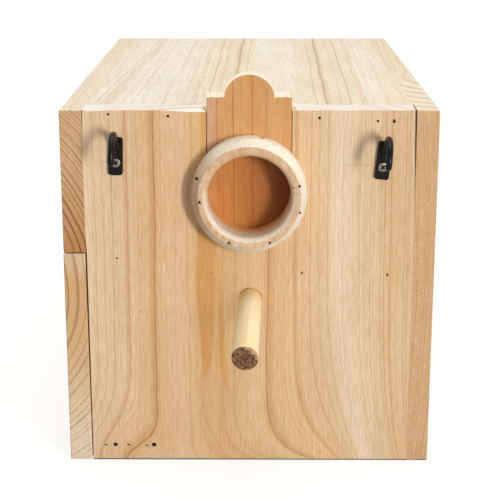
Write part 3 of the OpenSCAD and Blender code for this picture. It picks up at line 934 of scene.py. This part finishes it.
end_r = perch_r + perch_flare
perch_outline = fine([(perch_r - 0.4, -perch_deep), (perch_r - 0.4, 0.2), (perch_r - 0.1, 0.9),
                      (perch_r, 2), (end_r - 0.02, perch_len - 0.8)], 1.2)
perch_outline += [(end_r - 0.2, perch_len - 0.35), (end_r - 0.5, perch_len)]
perch_outline += [(end_r - 0.5 - 0.24 * i, perch_len) for i in range(1, 26)] + [(0, perch_len)]


def cane():
    # Cane skin: cream with faint lengthwise streaks, roughness 0.35.  The end: brown pith
    # full of open vessels, drawn 0.6 mm across so that they show as dark dots.
    made, add, mm = new_material("peeled_cane_perch")
    axes = add("SeparateXYZ", [mm]).node.outputs
    streaks = grain(add, mm, (1.1, 1.1, 0.02))
    skin = add("ValToRGB", [streaks], stops=[(0.3, "#ecd39e"), (0.5, "#f2dfb2"), (0.7, "#f5e7c6")])
    root = add("MapRange", [axes[2], 0, 13, 0.8, 0])
    skin = add("Mix:RGBA", [skin, "#f5cf8a", root])
    cells = add("TexVoronoi", {"Vector": mm, "Scale": 1.1, "Randomness": 1})
    vessel = add("MapRange", [cells, 0.36, 0.54, 1, 0])
    cloud = add("TexNoise", {"Vector": mm, "Scale": 0.45, "Detail": 3})
    # A patch at the upper right of the pith is painted pale, with fewer pores: a painted
    # highlight.
    wear_or_painted_light = add("Math:ADD", [axes[0], axes[1]])
    wear_or_painted_light = add("Math:MULTIPLY_ADD", [cloud, 5, wear_or_painted_light])
    wear_or_painted_light = add("MapRange", [wear_or_painted_light, 7.6, 9.2, 0, 1])
    pith = add("ValToRGB", [cloud], stops=[(0.35, "#744a2c"), (0.65, "#986c48")])
    pith = add("Mix:RGBA", [pith, "#c99e74", wear_or_painted_light])
    many = add("MapRange", [wear_or_painted_light, 0, 1, 1, 0.5])
    vessel = add("Math:MULTIPLY", [vessel, many])
    pith = add("Mix:RGBA", [pith, "#36120a", vessel])
    cut = add("MapRange", [axes[2], perch_len - 0.75, perch_len - 0.55, 0, 1])
    colour = add("Mix:RGBA", [skin, pith, cut])
    rough = add("MapRange", [cut, 0, 1, 0.36, 0.85])
    height = add("Math:MULTIPLY", [vessel, cut])
    height = add("Math:MULTIPLY_ADD", [height, -1, streaks])
    bump = add("Bump", {"Height": height, "Strength": 0.4, "Distance": 0.25 * MM})
    finish = add("BsdfPrincipled", {"Base Color": colour, "Roughness": rough, "IOR": 1.48,
                                    "Normal": bump})
    add("OutputMaterial", [finish])
    return made


perch_place = outward((perch_shift, ring_hi[1], ring_z - perch_drop), perch_slope, perch_lean)
perch = turned("perch_cane", perch_outline, perch_place, 96, False, knobbly, "perch", cane())

# ---- Hooks -------------------------------------------------------------------------------
# Two hooks moulded in one piece of black plastic, a plate with a rod that curls over and down.
# They are glossy, with soft edges and a smooth fillet where the rod leaves the plate.

melt_mm = 0.28                       # how finely the moulding's edges are melted


def moulded(node, material):
    """The CAD shape melted into one body with soft edges, as it leaves the mould."""
    piece = stand_for(bpy.data.objects.new(node + "_moulded", cad_mesh(node)), node, material)
    melt = piece.modifiers.new("melt", "REMESH")
    melt.mode = "VOXEL"
    melt.voxel_size = melt_mm * MM
    soften = piece.modifiers.new("soften", "SMOOTH")
    soften.factor = 0.5
    soften.iterations = 3
    applied(piece).data.shade_smooth()


def black_plastic():
    # Glossy moulded nylon, black right through: IOR 1.53 and a roughness near 0.22, with a weak
    # reflection and a faint orange-peel.
    made, add, mm = new_material("black_moulded_nylon")
    peel = add("TexNoise", {"Vector": mm, "Scale": 0.7, "Detail": 2})
    colour = add("ValToRGB", [peel], stops=[(0.3, "#060405"), (0.7, "#0c090a")])
    rough = add("MapRange", [peel, 0.3, 0.7, 0.18, 0.28])
    bump = add("Bump", {"Height": peel, "Strength": 0.2, "Distance": 0.1 * MM})
    finish = add("BsdfPrincipled", {"Base Color": colour, "Roughness": rough, "IOR": 1.53,
                                    "Specular IOR Level": 0.14, "Normal": bump})
    add("OutputMaterial", [finish])
    return made


hook_nylon = black_plastic()
moulded("left_hook", hook_nylon)
moulded("right_hook", hook_nylon)

# ---- Screws ------------------------------------------------------------------------------
# Zinc-plated countersunk screws with a cross recess, driven flush.  Their rims are bright, and
# rust has started in the recess.


def zinc():
    # Zinc plate: a grey metal, roughness 0.35, worn unevenly.  Rust and dirt fill the recess.
    made, add, mm = new_material("zinc_plated_screw")
    wear = add("TexNoise", {"Vector": mm, "Scale": 1.4, "Detail": 3})
    plate = add("ValToRGB", [wear], stops=[(0.35, "#5c544a"), (0.65, "#938a7c")])
    depth = add("SeparateXYZ", [mm], out=2)
    rust = add("MapRange", [depth, -0.4, 0, 1, 0])
    colour = add("Mix:RGBA", [plate, "#3c1e10", rust])
    metal = add("MapRange", [rust, 0, 1, 1, 0.2])
    rough = add("MapRange", [rust, 0, 1, 0.34, 0.8])
    finish = add("BsdfPrincipled", {"Base Color": colour, "Metallic": metal, "Roughness": rough})
    add("OutputMaterial", [finish])
    return made


screw_zinc = zinc()


def screw_head(place, head_d, turn):
    """A countersunk head with a low dome and a tapered cross recess, its top at z = 0."""
    half = head_d / 2
    outline = [(0, 0.25)]
    outline += [(half * math.sin(a * math.pi / 16), 0.25 * math.cos(a * math.pi / 16))
                for a in range(1, 8)]
    outline += [(half, 0), (half, -0.15), (1.25, -half + 1.15), (1.2, -7), (0, -7.2)]
    head = turned("screw_blank", outline, place, 48)
    scene_objects.link(head)
    for quarter in (0, math.pi / 2):
        width, long = 0.42, 0.32 * head_d
        top = [(-long, -width), (long, -width), (long, width), (-long, width)]
        foot = [(x * 0.35, y * 0.6) for x, y in top]
        spin = Matrix.Rotation(quarter + math.radians(turn), 3, "Z")
        points = [spin @ Vector((x * 1.12, y * 1.12, 0.5)) for x, y in top]
        points += [spin @ Vector((x, y, -1.5)) for x, y in foot]
        cutter = shaped("screw_recess", points, [[0, 1, 2, 3], [7, 6, 5, 4], [0, 4, 5, 1],
                                                 [1, 5, 6, 2], [2, 6, 7, 3], [3, 7, 4, 0]])
        cutter.matrix_world = place
        carve(head, cutter)
    head.data.shade_flat()
    return head


def screws(node, places, head_d, turns):
    """The screws of one CAD node as one piece; the first one's place is the piece's own."""
    made = [screw_head(place, head_d, turn) for place, turn in zip(places, turns)]
    first = made[0]
    for other in made[1:]:
        other.data.transform(first.matrix_world.inverted() @ other.matrix_world)
    work = bmesh.new()
    for head in made:
        work.from_mesh(head.data)
    work.to_mesh(first.data)
    work.free()
    for other in made[1:]:
        bpy.data.objects.remove(other)
    first.name = node + "_zinc"
    stand_for(first, node, screw_zinc)


hook_head_d = 4.8
for side, turn in (("left", 28), ("right", 40)):
    node = side + "_hook_screw"
    lo, hi = corners(node)
    middle = (lo + hi) / 2
    screws(node, [outward((middle[0], lo[1], middle[2]))], hook_head_d, [turn])

# ---- Hinges ------------------------------------------------------------------------------
# Two small butt hinges of brass-plated steel on the left side, each with a leaf above and a
# leaf below the joint, a steel pin and four screws.


def brass():
    # Brass plate, brushed along the leaf: a yellow metal, roughness 0.3, tarnished in patches.
    made, add, mm = new_material("brass_plated_hinge")
    brushed = grain(add, mm, (3, 0.06, 3))
    patch = add("TexNoise", {"Vector": mm, "Scale": 0.16, "Detail": 3})
    colour = add("ValToRGB", [patch], stops=[(0.35, "#a9823f"), (0.6, "#d8b468")])
    rough = add("MapRange", [patch, 0.3, 0.7, 0.42, 0.26])
    bump = add("Bump", {"Height": brushed, "Strength": 0.25, "Distance": 0.05 * MM})
    finish = add("BsdfPrincipled", {"Base Color": colour, "Metallic": 1.0, "Roughness": rough,
                                    "Normal": bump})
    add("OutputMaterial", [finish])
    return made


hinge_brass = brass()
hinge_head_d = 4.4
hinge_inset = 2.2                    # from the end of the screws' box to a screw's middle
sideways = Matrix.Rotation(math.radians(-90), 4, "Y")
for end in ("front", "rear"):
    for leaf in ("box", "flap"):
        plate = frame["nodes"][f"{end}_hinge_{leaf}_leaf"]
        plate.data.materials[0] = hinge_brass
        holes = f"{end}_hinge_{leaf}_screws"
        lo, hi = corners(holes)
        height = (lo[2] + hi[2]) / 2
        spots = [Matrix.Translation(Vector((lo[0], y, height)) * MM) @ sideways
                 for y in (lo[1] + hinge_inset, hi[1] - hinge_inset)]
        screws(holes, spots, hinge_head_d, [12, 63])
    frame["nodes"][f"{end}_hinge_pin"].data.materials[0] = screw_zinc

# ---- Knob --------------------------------------------------------------------------------
# A small turned beech knob, screwed on from inside, to pull the flap open.

knob_lo, knob_hi = corners("flap_knob")
knob_r = (knob_hi[1] - knob_lo[1]) / 2
knob_len = knob_hi[0] - knob_lo[0]
# Its outline, as shares of its radius and of its length.
shares = [(0, 0), (0.62, 0), (0.58, 0.06), (0.5, 0.22), (0.52, 0.34), (0.62, 0.42), (0.84, 0.5),
          (0.96, 0.6), (1, 0.72), (0.97, 0.82), (0.86, 0.91), (0.66, 0.965), (0.4, 0.99),
          (0.18, 1), (0, 1)]
knob_outline = [(across * knob_r, along * knob_len) for across, along in shares]
knob_middle = (knob_lo + knob_hi) / 2
knob_spot = Vector((knob_hi[0], knob_middle[1], knob_middle[2]))
knob_place = Matrix.Translation(knob_spot * MM) @ sideways


def beech():
    # Beech, turned and sanded: even pinkish tan with short dark rays, roughness 0.5.
    made, add, mm = new_material("beech_turned_knob")
    fibre = grain(add, mm, (2.2, 2.2, 0.25), 3)
    colour = add("ValToRGB", [fibre], stops=[(0.3, "#b98250"), (0.5, "#d2a06c"), (0.7, "#dcb282")])
    ray = grain(add, mm, (4, 4, 0.8), 0)
    ray = add("MapRange", [ray, 0.68, 0.74, 0, 0.6])
    colour = add("Mix:RGBA", [colour, "#8f5a30", ray])
    bump = add("Bump", {"Height": fibre, "Strength": 0.3, "Distance": 0.1 * MM})
    finish = add("BsdfPrincipled", {"Base Color": colour, "Roughness": 0.5, "IOR": 1.5,
                                    "Normal": bump})
    add("OutputMaterial", [finish])
    return made


turned("flap_knob_turned", knob_outline, knob_place, 64, node="flap_knob", material=beech())
frame["nodes"]["flap_knob_screw"].data.materials[0] = screw_zinc

# ---- Floor, light and camera -------------------------------------------------------------
# A pale studio floor under a white sweep of light.  The key lamp, at the front right, throws
# the shadows of the ring and the hooks to the left, and a wide lamp beside it softens them.
# One overhead lights the top, and one behind on the left lights the sides the rest miss.

half_floor = 6
floor_z = -0.1 * MM
floor_mesh = bpy.data.meshes.new("studio_floor")
floor_mesh.from_pydata([(x * half_floor, y * half_floor, floor_z)
                        for x, y in ((-1, -1), (1, -1), (1, 1), (-1, 1))], [], [[0, 1, 2, 3]])
studio_floor = bpy.data.objects.new("studio_floor", floor_mesh)
scene_objects.link(studio_floor)
floor_paper, add, mm = new_material("white_paper_floor")
seen = add("LightPath").node.outputs
direct = add("Math:MAXIMUM", [seen["Is Camera Ray"], seen["Is Glossy Ray"]])
paper = add("BsdfDiffuse", {"Color": "#a4a29e"})
# Far from the lamps the paper needs more glow to stay white.
away = add("VectorMath:LENGTH", [mm])
far = add("MapRange", [away, 400, 1600, 0.72, 0.95])
# Under the boards that stand still the paper is dark, so a thin shadow line shows beneath them.
left = corners("bottom_board")[0][0]
right, back = cad_box[1][0] / MM, cad_box[1][1] / MM
outside = add("VectorMath:ADD", [mm, (-(left + right) / 2, 0, 0)])
outside = add("VectorMath:ABSOLUTE", [outside])
outside = add("VectorMath:ADD", [outside, ((left - right) / 2, -back, 0)])
outside = add("SeparateXYZ", [outside]).node.outputs
outside = add("Math:MAXIMUM", [outside[0], outside[1]])
outside = add("MapRange", [outside, -1, 0, 0, 1])
far = add("Math:MULTIPLY", [far, outside])
glow = add("Emission", {"Color": (1, 1, 1, 1), "Strength": add("Math:MULTIPLY", [direct, far])})
add("OutputMaterial", [add("AddShader", [paper, glow])])
floor_mesh.materials.append(floor_paper)

sky = bpy.data.worlds.new("studio_white")
sky.use_nodes = True
bpy.context.scene.world = sky
sky.node_tree.nodes.clear()
add = functools.partial(add_node, sky.node_tree)
seen = add("LightPath").node.outputs
direct = add("Math:MAXIMUM", [seen["Is Camera Ray"], seen["Is Glossy Ray"]])
direct = add("Math:MAXIMUM", [direct, seen["Is Transmission Ray"]])
level = add("MapRange", [direct, 0, 1, 0.32, 1])
add("OutputWorld", [add("Background", {"Color": (1, 1, 1, 1), "Strength": level})])


def lamp(name, at, aim, size, level):
    """A soft rectangular lamp, its size in metres.  It lights a surface that faces it to a
    level, and at level 1 the surface shows its own colour."""
    light = bpy.data.lights.new(name, "AREA")
    light.shape = "RECTANGLE"
    light.size, light.size_y = size
    distance = Vector(at) - Vector(aim)
    light.energy = math.pi ** 2 * distance.length_squared * level
    piece = bpy.data.objects.new(name, light)
    scene_objects.link(piece)
    piece.location = at
    piece.rotation_euler = distance.to_track_quat("Z", "Y").to_euler()
    return piece


middle = (cad_box[0][2] + cad_box[1][2]) / 2
front = front_y * MM
aside, before = 0.84, front - 1.36
key_lamp = lamp("key_lamp", (aside, before, middle + 0.16), (0, front, middle), (0.2, 0.5), 0.63)
lamp("wide_lamp", (aside, before, middle + 0.26), (0, front, middle), (0.9, 1.1), 0.21)
lamp("top_lamp", (0.1, -0.1, 1.6), (0, 0, 0.2), (1.0, 1.0), 0.68)
lamp("rear_lamp", (-1.2, 1.2, middle + 0.1), (0, 0, middle), (1.0, 1.0), 0.75)
# The perch has only the wide lamp's faint shadow: the key lamp's would lie in a long dark
# streak over the front board's grain.
unshaded = bpy.data.collections.new("no_key_lamp_shadow")
unshaded.objects.link(perch)
unshaded.collection_objects[0].light_linking.link_state = "EXCLUDE"
key_lamp.light_linking.blocker_collection = unshaded

camera = bpy.data.cameras.new("camera")
camera.sensor_width = 36
camera.lens = 90.5
camera.shift_y = -0.12
viewer = bpy.data.objects.new("camera", camera)
scene_objects.link(viewer)
viewer.location = (0.004, -0.7976, 0.3183)
viewer_dip, viewer_turn = 14.06, 0.32
viewer.rotation_euler = (math.radians(90 - viewer_dip), 0, math.radians(viewer_turn))
bpy.context.scene.camera = viewer
bpy.context.scene.view_settings.view_transform = "Standard"
